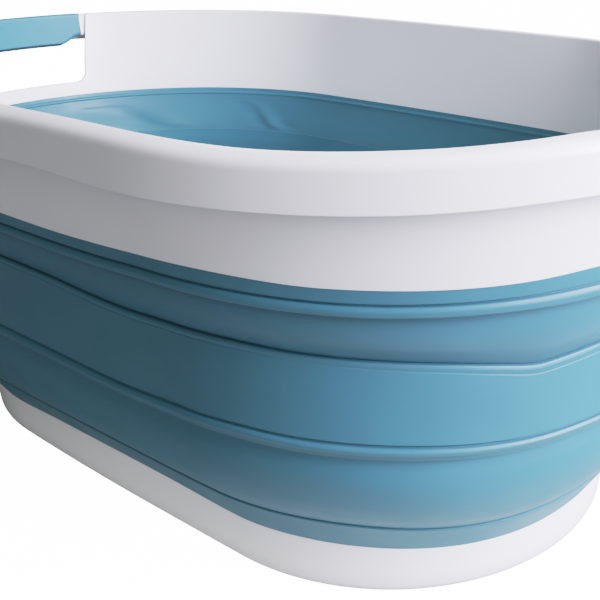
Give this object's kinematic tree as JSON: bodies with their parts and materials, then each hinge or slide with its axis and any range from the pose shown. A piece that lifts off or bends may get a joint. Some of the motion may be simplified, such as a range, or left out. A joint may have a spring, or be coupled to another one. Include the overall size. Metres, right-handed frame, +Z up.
{
  "type": "baby bathtub",
  "caption": "Oval fold-flat baby bathtub with a white rim ring, blue folding wall, handle windows with soft grips, and a white base tray with a drain plug.",
  "frame": {"origin": "centre of the rectangle that the tub covers, on the surface its feet stand on", "axes": "+X along the length towards the right handle, +Y to the rear side, +Z up"},
  "size_m": [0.6359, 0.428, 0.265],
  "materials": {
    "white_shell": "smooth moulded, soft gloss",
    "blue_wall": "satin soft-touch elastomer",
    "grip_skin": "satin soft-touch elastomer",
    "plug_rubber": "matte elastomer",
    "foot_pad": "matte elastomer"
  },
  "bodies": {
    "base": {"base_tray": "white_shell", "lower_band": "blue_wall", "lower_fold": "blue_wall", "foot_front_left": "foot_pad", "foot_rear_left": "foot_pad", "foot_front_right": "foot_pad", "foot_rear_right": "foot_pad"},
    "middle": {"middle_band": "blue_wall", "upper_fold": "blue_wall"},
    "rim": {"rim": "white_shell", "handle_grip_right": "grip_skin", "handle_grip_left": "grip_skin", "upper_band": "blue_wall"},
    "plug": {"drain_plug": "plug_rubber"}
  },
  "joints": [
    {"name": "lower_fold_slide", "type": "slide", "parent": "base", "child": "middle", "axis": [0, 0, -1], "range_m": [0, 0.1], "deforming": ["lower_fold"]},
    {"name": "upper_fold_slide", "type": "slide", "parent": "middle", "child": "rim", "axis": [0, 0, -1], "range_m": [0, 0.078], "deforming": ["upper_fold"]},
    {"name": "plug_lift", "type": "slide", "parent": "base", "child": "plug", "axis": [0, 0, 1], "range_m": [0, 0.05]}
  ]
}
